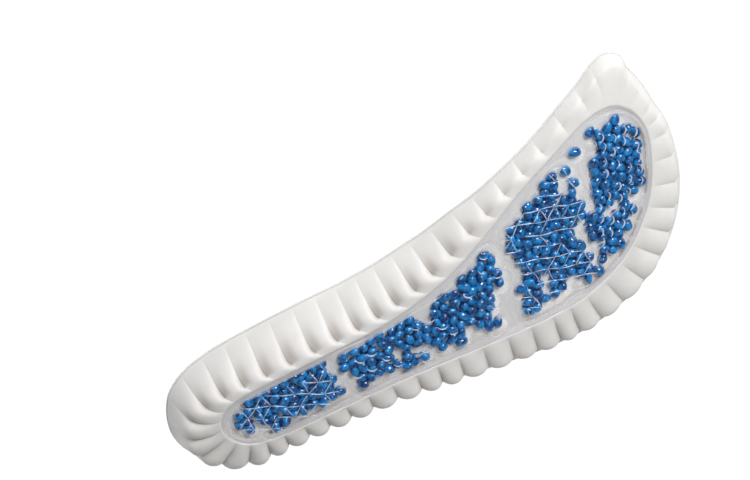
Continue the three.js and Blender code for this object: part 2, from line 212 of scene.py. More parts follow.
# View: the photograph's frame, and a point of the sole with the pixel where it shows.
FRAME_WIDTH = 750
FRAME_HEIGHT = 480
FOCAL_PIXELS = 2200
SENSOR_WIDTH = 36.0
CAMERA_DISTANCE = 1000.0
CAMERA_AZIMUTH = math.radians(79.37)
CAMERA_ELEVATION = math.radians(59.84)
CAMERA_ROLL = math.radians(159.2)
AIM_POINT = (137.06, 29.0, 28.33)
AIM_PIXEL = (405, 275)


def columns(names, rows):
    """A table as one array for each named column."""
    return dict(zip(names, np.array(rows, float).T))


# Sole surface along the foot, one row every SOLE_STEP from SOLE_START:
# height of the rib tops over the floor, and thickness down to the foot side.
SOLE_START = -15
SOLE_STEP = 30
SOLE = columns(("height", "thickness"), [
    (22.8, 11.5),
    (25.1, 11.5),
    (27.3, 11.5),
    (29.1, 11.5),
    (29.5, 11.5),
    (28.8, 11.2),
    (26.7, 10.8),
    (23.4, 10.2),
    (18.7, 9.6),
    (12.4, 9.2),
    (4.4, 6.6),
])

# Perimeter, one row at every second crease, from the heel along the inner side to the toe and back:
# x and y of the window edge, width of the flat flange, outward flare of the wall, lift of the rim
# over the floor, how far the ribs sweep back along the perimeter, and depth of the creases.
EDGE = columns(("x", "y", "flange", "flare", "lift", "sweep", "crease"), [
    (25.8, -1.0, 18.6, 8.6, 0.0, 1.5, 0.9),
    (28.0, 8.5, 13.7, 8.3, 0.0, 5.0, 0.95),
    (39.0, 14.0, 6.3, 9.6, 0.0, 4.0, 1.0),
    (61.0, 14.2, 4.8, 10.7, 0.8, 5.0, 1.0),
    (86.5, 12.9, 4.8, 11.3, 2.0, 6.0, 1.0),
    (110.0, 11.6, 5.1, 11.0, 2.5, 6.5, 1.0),
    (132.0, 12.4, 5.9, 10.0, 2.9, 6.5, 1.0),
    (154.0, 16.0, 6.9, 8.5, 4.1, 6.0, 1.0),
    (177.5, 23.8, 7.2, 6.0, 8.0, 4.5, 0.9),
    (198.5, 32.0, 5.8, 3.5, 9.9, 3.0, 0.85),
    (221.0, 38.6, 5.9, 3.0, 9.0, 1.6, 0.75),
    (241.5, 43.6, 9.0, 3.4, 5.6, -5.4, 0.5),
    (254.0, 42.8, 17.6, 4.0, 1.0, -4.9, 0.1),
    (261.0, 36.8, 12.0, 3.0, 0.0, 4.5, 0.08),
    (264.5, 27.5, 6.4, 3.0, 0.0, 0.0, 0.15),
    (263.5, 14.5, 8.7, 3.0, 0.0, 0.0, 0.25),
    (254.0, -5.5, 13.5, 3.5, 0.5, 0.0, 0.35),
    (241.0, -19.5, 17.1, 4.0, 3.2, -0.8, 0.5),
    (224.5, -29.4, 18.1, 4.5, 7.0, -1.2, 0.65),
    (203.0, -33.8, 17.2, 5.0, 11.0, -1.0, 0.85),
    (184.5, -32.5, 16.8, 5.5, 13.0, -0.5, 1.0),
    (161.5, -28.4, 15.5, 6.0, 14.0, 0.0, 1.0),
    (137.0, -23.6, 14.4, 6.0, 13.5, 0.0, 1.0),
    (116.0, -20.0, 12.7, 6.5, 12.0, 0.0, 1.0),
    (91.5, -17.0, 11.5, 6.5, 8.5, 0.0, 1.0),
    (69.0, -15.3, 10.8, 7.0, 4.5, 0.0, 1.0),
    (48.0, -13.9, 11.1, 7.5, 1.0, 0.0, 1.0),
    (32.5, -10.0, 14.9, 9.6, 0.0, 0.0, 1.0),
])
RIBS = RIBS_PER_ROW * len(EDGE["x"])

# Outer profile from the window edge over the shoulder to the rim:
# parts of the flange, flare and drop reached, how deep the creases are cut there on the arch side
# and on the outer side of the foot, and how round the pillows are, from 0, a dish, to 1, a half circle.
PROFILE = columns(("flange", "flare", "drop", "arch_cut", "outer_cut", "round"), [
    (0.0, 0.0, 0.0, 0.15, 0.05, 0.6),
    (0.2, 0.0, 0.0, 0.6, 1.1, 0.6),
    (0.5, 0.0, 0.008, 1.5, 2.4, 0.6),
    (0.85, 0.0, 0.04, 2.9, 3.1, 0.6),
    (1.0, 0.15, 0.14, 2.9, 3.0, 0.6),
    (1.0, 0.45, 0.42, 1.1, 2.3, 0.75),
    (1.0, 0.78, 0.76, 0.5, 1.4, 0.9),
    (1.0, 0.97, 0.93, 0.1, 0.5, 0.9),
    (1.0, 1.0, 1.0, 0.0, 0.0, 0.9),
])
PROFILE_END = len(PROFILE["drop"]) - 1

# Bead pods: outline from its heel end along the inner side and back, direction of the rows in
# degrees, bare spots as x, y and radius, and the kind of ridges over the pod.
PODS = {
    "heel_beads": {
        "turn": 0,
        "ridges": "lattice",
        "outline": [
            (29, 2), (34, 6), (42, 10), (58, 10), (74, 10), (82, 12), (85, 0), (84, -9),
            (77, -14), (56, -13.7), (44, -13), (40.5, -5.5), (35, -9), (30, -4),
        ],
        "bare": [],
    },
    "arch_beads": {
        "turn": 0,
        "ridges": "arcs",
        "outline": [
            (88, 9), (111, 7.5), (131, 7.5), (146, 8), (161, 13), (175.5, 17.5), (174.5, -3),
            (165.5, -12.5), (165, -24), (157, -25), (150, -25.5), (143, -24), (135, -22), (124, -20),
            (108, -17.5), (91, -14.5),
        ],
        "bare": [
            (134, 3, 4), (115.5, -6.5, 2.6), (121.5, -11, 3.4), (127.5, -15.5, 3.4), (148.5, -19, 3.5),
        ],
    },
    "ball_beads": {
        "turn": 3,
        "ridges": "lattice",
        "outline": [
            (172, -28), (176, -12), (182, -3), (180, 8), (182, 18), (190, 23), (206, 27), (216, 33),
            (226, 32), (225, 20), (222, 2), (214, -8), (216, -27), (209, -31.5), (198, -29), (184, -31),
        ],
        "bare": [(190, -18, 3.2), (194.5, 22, 4), (219.5, 20.5, 4), (216, -4.5, 3.5), (200.5, -28, 4.5)],
    },
    "toe_beads": {
        "turn": 9,
        "ridges": "arcs",
        "outline": [
            (217, -27), (218, -6), (225, 4), (231, 12), (233, 24), (238, 37), (247, 38), (256, 37),
            (262, 27), (261.5, 16), (257, 5), (249, -7), (240, -17.5), (228, -25.5),
        ],
        "bare": [(234, -5, 3.2), (238.5, 30, 3.2), (257, 32, 3), (244, -6.5, 2.6)],
    },
}
STRAY_BEAD = {"x": 231, "y": 32, "turn": math.radians(-30), "long": 3.4, "wide": 2.2, "egg": 0.1}

# Round cells of the pods that have crescents: distance between them, side that the crescents lie on,
# and share of the cells that is there.
ARCS = {
    "arch_beads": {"pitch": 7.4, "facing": math.radians(-125), "share": 0.5},
    "toe_beads": {"pitch": 6.2, "facing": math.radians(-30), "share": 0.85},
}


def mix(a, b, t):
    """Value between a and b, from a at t = 0 to b at t = 1."""
    return a + (b - a) * t


def smoothstep(low, high, value):
    """Smooth rise from 0 at low to 1 at high."""
    t = np.clip((value - low) / (high - low), 0, 1)
    return t * t * (3 - 2 * t)


def spline(values, place, closed=False):
    """Smooth curve through evenly spaced values."""
    n = len(values)
    i = np.floor(place).astype(int)
    if not closed:
        i = np.clip(i, 0, n - 2)
    t = place - i
    a, b, c, d = (values[(i + k) % n if closed else np.clip(i + k, 0, n - 1)] for k in (-1, 0, 1, 2))
    cube = 3 * b - a - 3 * c + d
    square = 2 * a - 5 * b + 4 * c - d
    return b + 0.5 * t * (c - a + t * (square + t * cube))


def sole(x, column="height"):
    """Column of the sole table at places x along the foot."""
    return spline(SOLE[column], (np.asarray(x, float) - SOLE_START) / SOLE_STEP)


def edge_at(u):
    """Perimeter at places u, with the outward direction of the window edge."""
    step = 0.02
    edge = {name: spline(values, u, closed=True) for name, values in EDGE.items()}
    ahead_x, ahead_y = (spline(EDGE[name], u + step, closed=True) for name in "xy")
    behind_x, behind_y = (spline(EDGE[name], u - step, closed=True) for name in "xy")
    length = np.hypot(ahead_x - behind_x, ahead_y - behind_y)
    edge["out_x"] = -(ahead_y - behind_y) / length
    edge["out_y"] = (ahead_x - behind_x) / length
    edge["lift"] = np.maximum(edge["lift"], 0)
    return edge


def plan(edge, out, share):
    """Plan position at a distance out from the window edge, with a share of the sweep."""
    sweep = edge["sweep"] * share
    x = edge["x"] + edge["out_x"] * out - edge["out_y"] * sweep
    y = edge["y"] + edge["out_y"] * out + edge["out_x"] * sweep
    return x, y


def rib_plan(edge, out):
    """Plan position along a rib."""
    rest = 1 - np.clip(out / (edge["flange"] + edge["flare"]), 0, 1)
    return plan(edge, out, 1 - rest ** SWEEP_CURVE)


def crest(edge, place):
    """Rib crests at a place along the profile."""
    flange, flare, drop = (spline(PROFILE[name], place) for name in ("flange", "flare", "drop"))
    x, y = rib_plan(edge, mix(LIP_RADIUS, edge["flange"], flange) + flare * edge["flare"])
    rim = edge["lift"] + COVER_THICKNESS + GAP
    return np.stack(np.broadcast_arrays(x, y, mix(sole(x), rim, drop)), -1)


def pillow_fall(u, edge, roundness):
    """How far a place across a rib has fallen from its crest, which on the arch side is off centre."""
    across = (u * RIBS_PER_ROW) % 1
    top = 0.5 + PILLOW_SKEW * np.maximum(edge["out_y"], 0)
    climb = np.where(across < top, across / top, (1 - across) / (1 - top))
    reach = roundness * (1 - climb) ** 2
    return (1 - np.sqrt(1 - reach)) / (1 - np.sqrt(1 - roundness))


def crease_cut(u, edge, place):
    """How far the rib surface lies below its crest, square to the profile."""
    names = ("arch_cut", "outer_cut", "round")
    arch_cut, outer_cut, roundness = (spline(PROFILE[name], place) for name in names)
    side = smoothstep(-SIDE_BLEND, SIDE_BLEND, edge["out_y"])
    return mix(outer_cut, arch_cut, side) * edge["crease"] * pillow_fall(u, edge, roundness)


def rib_surface(u, place):
    """Rib surface: the crest moved into the foam, square to the profile, by the crease cut."""
    step = 0.4
    edge = edge_at(u)
    point = crest(edge, place)
    before = crest(edge, np.maximum(place - step, 0))
    after = crest(edge, np.minimum(place + step, PROFILE_END))
    along = np.hypot(after[..., 0] - before[..., 0], after[..., 1] - before[..., 1])
    fall = after[..., 2] - before[..., 2]
    length = np.hypot(along, fall)
    cut = crease_cut(u, edge, place)
    inward = -cut * fall / length
    point[..., 0] -= inward * edge["out_x"]
    point[..., 1] -= inward * edge["out_y"]
    point[..., 2] -= cut * along / length
    return point


def lip_loops(u):
    """Rounded edge of the recess, from its wall up to the flange."""
    edge = edge_at(u)
    cut = crease_cut(u, edge, np.float64(0))
    loops = []
    for angle in np.linspace(math.pi / 2, 0, LIP_ROWS)[:-1]:
        x, y = rib_plan(edge, LIP_RADIUS * (1 - math.sin(angle)))
        loops.append(np.stack([x, y, sole(x) - cut - LIP_RADIUS * (1 - math.cos(angle))], -1))
    return loops


def even_places(per_rib):
    """Places spread evenly round the perimeter."""
    return np.arange(RIBS * per_rib) / (RIBS_PER_ROW * per_rib)


def rib_places(per_rib):
    """Places round the perimeter, closer together towards the creases."""
    across = 0.5 - 0.5 * np.cos(math.pi * np.arange(per_rib) / per_rib)
    return (np.arange(RIBS)[:, None] + across).ravel() / RIBS_PER_ROW


def bed_height(x):
    """Height of the cover's foot side over the floor."""
    return sole(x) - sole(x, "thickness")


def foot_section(edge, overhang):
    """Foot side in section, from rim to bed edge: distance out, height, and share of the sweep."""
    rim = edge["flange"] + edge["flare"]
    bed_edge = edge["flange"] + BED_FLARE * edge["flare"] - BED_INSET
    rim_height = edge["lift"] + COVER_THICKNESS + GAP
    bed_x = edge["x"] + edge["out_x"] * bed_edge
    foam_height = bed_height(bed_x) + COVER_THICKNESS + GAP
    land = rim - RIM_LAND
    middle = (mix(land, bed_edge, CUP_MIDDLE["in"]), mix(rim_height, foam_height, CUP_MIDDLE["rise"]))
    return [
        (rim + overhang, rim_height, 1.0),
        (land, rim_height, 1.0),
        (*middle, CUP_MIDDLE["sweep"]),
        (bed_edge, foam_height, BED_SWEEP),
    ]


def offset_section(section, distance):
    """The section moved towards the foot, keeping the distance square to each of its stretches."""
    facing = []
    for (out, height, _), (next_out, next_height, _) in zip(section, section[1:]):
        length = np.hypot(next_out - out, next_height - height)
        facing.append(((height - next_height) / length, (next_out - out) / length))
    facing.append((0.0, -1.0))
    moved = []
    for k, (out, height, share) in enumerate(section):
        a, b = facing[max(k - 1, 0)], facing[k]
        spread = distance / (1 + a[0] * b[0] + a[1] * b[1])
        moved.append((out + spread * (a[0] + b[0]), height + spread * (a[1] + b[1]), share))
    return moved


def foot_loops(u, distance, places, overhang=0.0):
    """Loops on the foot side at places along its section, moved towards the foot."""
    edge = edge_at(u)
    section = offset_section(foot_section(edge, overhang), distance)
    section = np.array([np.broadcast_arrays(*row) for row in section])
    loops = []
    for place in places:
        out, height, share = (spline(section[:, k], np.float64(place)) for k in range(3))
        height = np.maximum(height, section[:, 1].min(0))
        x, y = plan(edge, out, share)
        loops.append(np.stack([x, y, height], -1))
    return loops


def window_loop(u, depth, inset):
    """Loop along the window edge at a depth under the sole, moved inwards."""
    edge = edge_at(u)
    x = edge["x"] - edge["out_x"] * inset
    y = edge["y"] - edge["out_y"] * inset
    return np.stack([x, y, sole(x) - depth], -1)


def inside_by(x, y, outline):
    """Distance from points to the nearest side of an outline, positive inside it."""
    start, end = outline, np.roll(outline, -1, axis=0)
    side = end - start
    away_x, away_y = x[..., None] - start[:, 0], y[..., None] - start[:, 1]
    t = np.clip((away_x * side[:, 0] + away_y * side[:, 1]) / (side ** 2).sum(1), 0, 1)
    nearest = np.hypot(away_x - t * side[:, 0], away_y - t * side[:, 1]).min(-1)
    spans = (start[:, 1] > y[..., None]) != (end[:, 1] > y[..., None])
    rise = np.where(side[:, 1] == 0, 1, side[:, 1])
    crossed = spans & (away_x < away_y * side[:, 0] / rise)
    return np.where(crossed.sum(-1) % 2 == 1, nearest, -nearest)


def smooth_outline(points):
    """Closed smooth curve through points, with a few steps to each."""
    values = np.array(points, float)
    place = np.arange(len(values) * OUTLINE_STEPS) / OUTLINE_STEPS
    return np.stack([spline(values[:, k], place, closed=True) for k in (0, 1)], -1)


OUTLINES = {name: smooth_outline(pod["outline"]) for name, pod in PODS.items()}
WINDOW_EDGE = smooth_outline(np.column_stack([EDGE["x"], EDGE["y"]]))


def pod_depth(x, y):
    """Distance inside the nearest pod outline, negative between the pods."""
    return np.max([inside_by(x, y, outline) for outline in OUTLINES.values()], axis=0)


def lattice_offsets(name, x, y):
    """Distances across the three sets of lattice lines of a pod, in line spacings."""
    middle = (OUTLINES[name].min(0) + OUTLINES[name].max(0)) / 2
    offsets = []
    for degrees in LATTICE_TURNS:
        angle = math.radians(PODS[name]["turn"] + degrees)
        across = (y - middle[1]) * math.cos(angle) - (x - middle[0]) * math.sin(angle)
        offsets.append(across / LATTICE_SPACING)
    return offsets


def grid_spots(outline, pitch, turn, margin):
    """Close-packed grid inside an outline."""
    low, high = outline.min(0), outline.max(0)
    reach = math.ceil(np.hypot(*(high - low)) / 2 / pitch) + 1
    i, j = np.meshgrid(np.arange(-reach, reach + 1), np.arange(-reach, reach + 1))
    along = (i + 0.5 * (j % 2)).ravel() * pitch
    across = j.ravel() * pitch * math.sqrt(3) / 2
    c, s = math.cos(turn), math.sin(turn)
    spots = (low + high) / 2 + np.column_stack([along * c - across * s, along * s + across * c])
    return spots[inside_by(spots[:, 0], spots[:, 1], outline) > margin]


def lens_cells(name, seed):
    """Round cells of a pod's sheet, each with its place, reach and turn."""
    rng = np.random.default_rng(seed)
    arcs = ARCS[name]
    spots = grid_spots(OUTLINES[name], arcs["pitch"], math.radians(PODS[name]["turn"]), ARC_MARGIN)
    spots = spots[rng.uniform(size=len(spots)) < arcs["share"]]
    spots = spots + ARC_JITTER * rng.uniform(-1, 1, spots.shape)
    reach = rng.uniform(*ARC_REACH, len(spots))
    facing = arcs["facing"] + rng.uniform(-ARC_TURN, ARC_TURN, len(spots))
    return list(zip(spots, reach, facing))


LENSES = {name: lens_cells(name, seed) for seed, name in enumerate(ARCS)}


def cell_relief(x, y):
    """Low pyramids between the lattice lines and low domes in the round cells, from 0 to 1."""
    relief = np.zeros_like(x)
    for name, pod in PODS.items():
        if pod["ridges"] == "lattice":
            nearest = np.min([np.abs(s - np.round(s)) for s in lattice_offsets(name, x, y)], axis=0)
            # A triangle's middle lies a third of a spacing from its nearest line.
            relief += 3 * nearest * smoothstep(0, POD_STEP, inside_by(x, y, OUTLINES[name]))
    for (lens_x, lens_y), reach, _ in sum(LENSES.values(), []):
        relief = np.maximum(relief, 1 - ((x - lens_x) ** 2 + (y - lens_y) ** 2) / reach ** 2)
    return relief


def window_top(x, y):
    """Height of the window: a rising border, a dome over each pod, a weld round it, and its cells."""
    depth = pod_depth(x, y)
    border = BORDER_RISE * (1 - smoothstep(0, BORDER_WIDTH, inside_by(x, y, WINDOW_EDGE)))
    dome = POD_RISE * smoothstep(-POD_STEP, POD_STEP, depth)
    weld = WELD_DEPTH * np.exp(-((depth + WELD_PLACE) / WELD_WIDTH) ** 2)
    return sole(x) - WINDOW_DEPTH + np.maximum(border, dome) - weld + CELL_RISE * cell_relief(x, y)


def on_window(x, y):
    """Points on the upper face of the window."""
    return np.column_stack([x, y, window_top(x, y)])


class Shell:
    """A mesh put together from loops of points in millimetres."""

    def __init__(self):
        self.parts = []
        self.count = 0
        self.faces = []

    def loop(self, points):
        """Add points, and return their numbers."""
        first = self.count
        self.parts.append(np.asarray(points, float))
        self.count += len(points)
        return np.arange(first, self.count)

    def points(self):
        """All points so far, in order."""
        return np.concatenate(self.parts)

    def band(self, upper, lower):
        """Band between two loops of equal length."""
        self.faces += np.stack([upper, np.roll(upper, -1), np.roll(lower, -1), lower], 1).tolist()

    def skin(self, loop, across, height, face_up):
        """Skin inside a loop, on rungs from one side of the loop to the other."""
        half = len(loop) // 2
        near, far = loop[1:half], loop[:half:-1]
        points = self.points()
        part = np.linspace(0, 1, across + 1)[1:-1, None]
        plane = mix(points[near, None, :2], points[far, None, :2], part).reshape(-1, 2)
        inner = self.loop(np.column_stack([plane, height(plane[:, 0], plane[:, 1])]))
        rungs = np.column_stack([near, inner.reshape(half - 1, across - 1), far])
        quads = np.stack([rungs[:-1, :-1], rungs[:-1, 1:], rungs[1:, 1:], rungs[1:, :-1]], -1)
        tips = [[loop[0], b, a] for a, b in zip(rungs[0], rungs[0][1:])]
        tips += [[a, b, loop[half]] for a, b in zip(rungs[-1], rungs[-1][1:])]
        faces = quads.reshape(-1, 4).tolist() + tips
        self.faces += faces if face_up else [face[::-1] for face in faces]

    def tube(self, path, radii):
        """Round tube along a path, with flat ends."""
        ahead = np.gradient(path, axis=0)
        ahead /= np.linalg.norm(ahead, axis=1, keepdims=True)
        side = np.cross(ahead, (0.0, 0.0, 1.0))
        side /= np.linalg.norm(side, axis=1, keepdims=True)
        up = np.cross(side, ahead)
        angle = 2 * math.pi * np.arange(TUBE_SIDES)[:, None] / TUBE_SIDES
        loops = []
        for centre, a, b, radius in zip(path, side, up, radii):
            loops.append(self.loop(centre + radius * (np.cos(angle) * a + np.sin(angle) * b)))
        for first, second in zip(loops, loops[1:]):
            self.band(second, first)
        self.faces += [loops[0].tolist(), loops[-1].tolist()[::-1]]

    def ball(self, centre, axes, heading, tilt, egg):
        """Egg-shaped ball with its three half axes."""
        ring = math.pi * np.arange(1, BEAD_RINGS) / BEAD_RINGS
        turn = 2 * math.pi * np.arange(BEAD_SIDES) / BEAD_SIDES
        level = [np.column_stack([np.sin(r) * np.cos(turn), np.sin(r) * np.sin(turn),
                                  np.full(BEAD_SIDES, math.cos(r))]) for r in ring]
        unit = np.concatenate([[(0, 0, 1)], *level, [(0, 0, -1)]])
        shape = unit * axes
        shape[:, 1:] *= 1 + egg * unit[:, :1]
        spin = np.array(Matrix.Rotation(heading, 3, "Z") @ Matrix.Rotation(tilt, 3, "Y"))
        index = self.loop(shape @ spin.T + centre)
        loops = index[1:-1].reshape(BEAD_RINGS - 1, BEAD_SIDES)
        for upper, lower in zip(loops, loops[1:]):
            self.band(lower, upper)
        for a, b in zip(range(BEAD_SIDES), np.roll(range(BEAD_SIDES), -1)):
            self.faces.append([index[0], loops[0][a], loops[0][b]])
            self.faces.append([index[-1], loops[-1][b], loops[-1][a]])


def make_piece(name, shell, material, replaced=()):
    """Object of a shell, in the row frame, riding on the part."""
    mesh = bpy.data.meshes.new(name)
    place = np.array([*ORIGIN_SHIFT, 0.0])
    mesh.from_pydata(((shell.points() + place) * MM).tolist(), [], shell.faces)
    mesh.shade_smooth()
    mesh.set_sharp_from_angle(angle=SHARP_ANGLE)
    mesh.materials.append(material)
    piece = bpy.data.objects.new(name, mesh)
    bpy.context.scene.collection.objects.link(piece)
    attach(piece, BODY)
    if replaced:
        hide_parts(*replaced)
    return piece


def clear_of_beads(x, y, beads):
    """Distance from points to the nearest bead."""
    nearest = np.full(len(x), np.inf)
    for (bead_x, bead_y), axes, *_ in beads:
        nearest = np.minimum(nearest, np.hypot(x - bead_x, y - bead_y) - axes[:2].mean())
    return nearest


def add_values(piece, name, values):
    """A value at each point of a piece, for its material to read."""
    piece.data.attributes.new(name, "FLOAT", "POINT").data.foreach_set("value", values)


def frost(shell, beads):
    """How frosted the window is at each point: its upper face is clear over beads, away from its edge."""
    x, y, z = shell.points().T
    upper = z > window_top(x, y) - WINDOW_THICKNESS / 2
    border = 1 - smoothstep(*FROST_BORDER, inside_by(x, y, WINDOW_EDGE))
    return upper * np.maximum(border, smoothstep(*FROST_EDGE, clear_of_beads(x, y, beads)))


def painted_rib_shade(u, place):
    """Painted grey shade that each rib of the arch side has beside its crease, from 0 to 1."""
    edge = edge_at(u)
    across = ((u * RIBS_PER_ROW) % 1 - PAINTED_RIB_SHADE["across"]) / PAINTED_RIB_SHADE["wide"]
    along = (place - PAINTED_RIB_SHADE["place"]) / PAINTED_RIB_SHADE["long"]
    creased = smoothstep(*PAINTED_RIB_SHADE["crease"], edge["crease"])
    arch_side = smoothstep(0, SIDE_BLEND, edge["out_y"])
    return np.exp(-(across ** 2 + along ** 2)) * creased * arch_side


def foam_shell():
    """Foam cup, with the painted rib shade at each of its points."""
    shell = Shell()
    u = rib_places(COLUMNS_PER_RIB)
    wall = shell.loop(window_loop(u, RECESS_DEPTH, 0))
    outer = [wall] + [shell.loop(points) for points in lip_loops(u)]
    first = shell.count
    places = np.linspace(0, PROFILE_END, PROFILE_ROWS)
    outer += [shell.loop(rib_surface(u, place)) for place in places]
    # Painted shade beside the arch-side creases, for each point of the ribs.
    painted_rib_shades = np.concatenate([painted_rib_shade(u, place) for place in places])
    shell.skin(wall, FOAM_ACROSS, lambda x, y: sole(x) - RECESS_DEPTH, True)
    foot = [shell.loop(points) for points in foot_loops(u, 0, np.linspace(1, 3, FOOT_ROWS))]
    loops = outer + foot
    for upper, lower in zip(loops, loops[1:]):
        shell.band(upper, lower)
    shell.skin(foot[-1], FOAM_ACROSS, lambda x, y: bed_height(x) + COVER_THICKNESS + GAP, False)
    return shell, np.pad(painted_rib_shades, (first, shell.count - first - len(painted_rib_shades)))


def cover_shell():
    """Cloth cover: a sheet with an inner and an outer face that follow the foot side."""
    shell = Shell()
    u = even_places(COVER_COLUMNS_PER_RIB)
    places = np.linspace(0, 3, COVER_ROWS)
    inner, outer = (
        [shell.loop(points) for points in foot_loops(u, distance, places, COVER_OVERHANG)]
        for distance in (GAP, GAP + COVER_THICKNESS))
    for k in range(len(places) - 1):
        shell.band(inner[k + 1], inner[k])
        shell.band(outer[k], outer[k + 1])
    shell.band(inner[0], outer[0])
    shell.skin(inner[-1], COVER_ACROSS, lambda x, y: bed_height(x) + COVER_THICKNESS, True)
    shell.skin(outer[-1], COVER_ACROSS, lambda x, y: bed_height(x), False)
    return shell


def window_shell():
    """Clear sheet, finely meshed on its upper face for the relief."""
    shell = Shell()
    u = even_places(WINDOW_COLUMNS_PER_RIB)
    edge = window_loop(u, 0, -WINDOW_OVERLAP)
    rim = on_window(edge[:, 0], edge[:, 1])
    top = shell.loop(rim)
    bottom = shell.loop(rim - (0, 0, WINDOW_THICKNESS))
    shell.skin(top, WINDOW_ACROSS, window_top, True)
    shell.band(top, bottom)
    shell.skin(bottom, WINDOW_BACK_ACROSS, lambda x, y: window_top(x, y) - WINDOW_THICKNESS, False)
    return shell


def relaxed(spots, reach, outline):
    """Spots pushed apart until neighbours just touch, kept inside the outline."""
    for _ in range(RELAX_STEPS):
        apart = spots[:, None] - spots[None]
        distance = np.hypot(apart[..., 0], apart[..., 1])
        np.fill_diagonal(distance, np.inf)
        push = np.clip(TOUCH * (reach[:, None] + reach) - distance, 0, None) / distance
        moved = spots + RELAX_SHARE * (apart * push[..., None]).sum(1)
        kept = inside_by(moved[:, 0], moved[:, 1], outline) > BEAD_MARGIN
        spots = np.where(kept[:, None], moved, spots)
    return spots


def add_bead(shell, place, axes, heading, tilt, egg, sink):
    """Bead under the window, with its flat foot on the floor of the recess."""
    x, y = place
    top = sole(x) - WINDOW_DEPTH - WINDOW_THICKNESS + POD_RISE - GAP - sink
    shell.ball((x, y, top - axes[2]), axes, heading, tilt, egg)
    foot = (axes[0] * FOOT_SPREAD, axes[1] * FOOT_SPREAD, FOOT_HEIGHT)
    shell.ball((x, y, sole(x) - RECESS_DEPTH + FOOT_HEIGHT + GAP), foot, heading, 0.0, 0.0)


def pod_beads(pod, outline, seed):
    """Beads of a pod, each with its place, half axes, heading, tilt, egg shape and sink."""
    rng = np.random.default_rng(seed)
    spots = grid_spots(outline, BEAD_PITCH, math.radians(pod["turn"]), BEAD_MARGIN)
    spots = spots + BEAD_JITTER * rng.uniform(-0.5, 0.5, spots.shape)
    for x, y, radius in pod["bare"]:
        spots = spots[np.hypot(spots[:, 0] - x, spots[:, 1] - y) > radius]
    n = len(spots)
    axes = np.column_stack([rng.uniform(*size, n) for size in (BEAD_LONG, BEAD_WIDE, BEAD_TALL)])
    spots = relaxed(spots, axes[:, :2].mean(1), outline)
    heading = rng.uniform(0, math.pi, n)
    tilt = rng.uniform(-BEAD_TILT, BEAD_TILT, n)
    egg = rng.uniform(-BEAD_EGG, BEAD_EGG, n)
    sink = rng.uniform(*BEAD_SINK, n)
    return list(zip(spots, axes, heading, tilt, egg, sink))


def stray_beads():
    """The bead that lies alone, as a list of one."""
    axes = np.array([STRAY_BEAD["long"], STRAY_BEAD["wide"], BEAD_TALL[1]])
    return [((STRAY_BEAD["x"], STRAY_BEAD["y"]), axes, STRAY_BEAD["turn"], 0.0, STRAY_BEAD["egg"], 0.0)]


def bead_shell(beads):
    """Beads of one pod as one mesh."""
    shell = Shell()
    for bead in beads:
        add_bead(shell, *bead)
    return shell


def tapered(count, radius):
    """Radius along a ridge that thins out towards both ends."""
    t = np.linspace(-1, 1, count)
    return radius * (TAPER_END + (1 - TAPER_END) * (1 - t ** 2))


def add_lattice(shell, name, rng):
    """Three sets of ridges that meet in triangles, a little bent, with some stretches worn away."""
    outline = OUTLINES[name]
    middle = (outline.min(0) + outline.max(0)) / 2
    reach = math.ceil(np.hypot(*(outline.max(0) - outline.min(0))) / 2 / LATTICE_SPACING)
    bend_x, bend_y = LATTICE_BENDS
    for degrees, share in LATTICE_TURNS.items():
        angle = math.radians(PODS[name]["turn"] + degrees)
        along = np.array([math.cos(angle), math.sin(angle)])
        across = np.array([-along[1], along[0]])
        for k in range(-reach, reach + 1):
            for j in range(-reach, reach + 1):
                start = (j + (k % 2) / 2) * LATTICE_EDGE
                t = np.linspace(start, start + LATTICE_EDGE, LATTICE_STEPS)
                x, y = (middle + t[:, None] * along + k * LATTICE_SPACING * across).T
                bent_x = x + LATTICE_WOBBLE * np.sin(bend_x * y)
                bent_y = y + LATTICE_WOBBLE * np.sin(bend_y * x)
                shown = rng.uniform() < share
                radius = rng.uniform(*LATTICE_RADIUS)
                inside = inside_by(bent_x, bent_y, outline) > LATTICE_MARGIN
                if shown and inside.sum() > LATTICE_STEPS / 2:
                    path = on_window(bent_x[inside], bent_y[inside])
                    shell.tube(path, tapered(len(path), radius))


def add_arcs(shell, name, rng):
    """Crescent ridge on one side of each round cell."""
    for (x, y), reach, facing in LENSES[name]:
        angle = facing + np.linspace(-0.5, 0.5, ARC_STEPS) * ARC_SPAN
        path = on_window(x + reach * np.cos(angle), y + reach * np.sin(angle))
        shell.tube(path, tapered(len(path), rng.uniform(*ARC_RADIUS)))


def ridge_shell():
    """Lattice or crescent ridges over each pod."""
    shell = Shell()
    rng = np.random.default_rng(RIDGE_SEED)
    for name, pod in PODS.items():
        add_ridges = add_lattice if pod["ridges"] == "lattice" else add_arcs
        add_ridges(shell, name, rng)
    return shell


def add_line(shell, loop, beads):
    """Fine line along a closed loop, left out near beads and at the window edge."""
    x, y = loop[:, 0], loop[:, 1]
    within = inside_by(x, y, WINDOW_EDGE) > LINE_MARGIN
    shown = within & (clear_of_beads(x, y, beads) > LINE_CLEARANCE)
    order = np.roll(np.arange(len(loop)), -np.argmin(shown))
    for stretch in np.split(order, np.flatnonzero(~shown[order])):
        if len(stretch) > LINE_SHORTEST:
            path = on_window(*loop[stretch[1:], :2].T)
            shell.tube(path, tapered(len(path), LINE_RADIUS))


def line_shell(beads):
    """Fine mould lines round each pod and along the window edge."""
    shell = Shell()
    for outline in OUTLINES.values():
        ahead = np.roll(outline, -1, axis=0) - np.roll(outline, 1, axis=0)
        ahead /= np.linalg.norm(ahead, axis=1, keepdims=True)
        out = np.column_stack([-ahead[:, 1], ahead[:, 0]])
        for offset in POD_LINES:
            add_line(shell, outline + offset * out, beads)
    u = even_places(LINE_COLUMNS_PER_RIB)
    for inset in EDGE_LINES:
        add_line(shell, window_loop(u, WINDOW_DEPTH, inset), beads)
    return shell


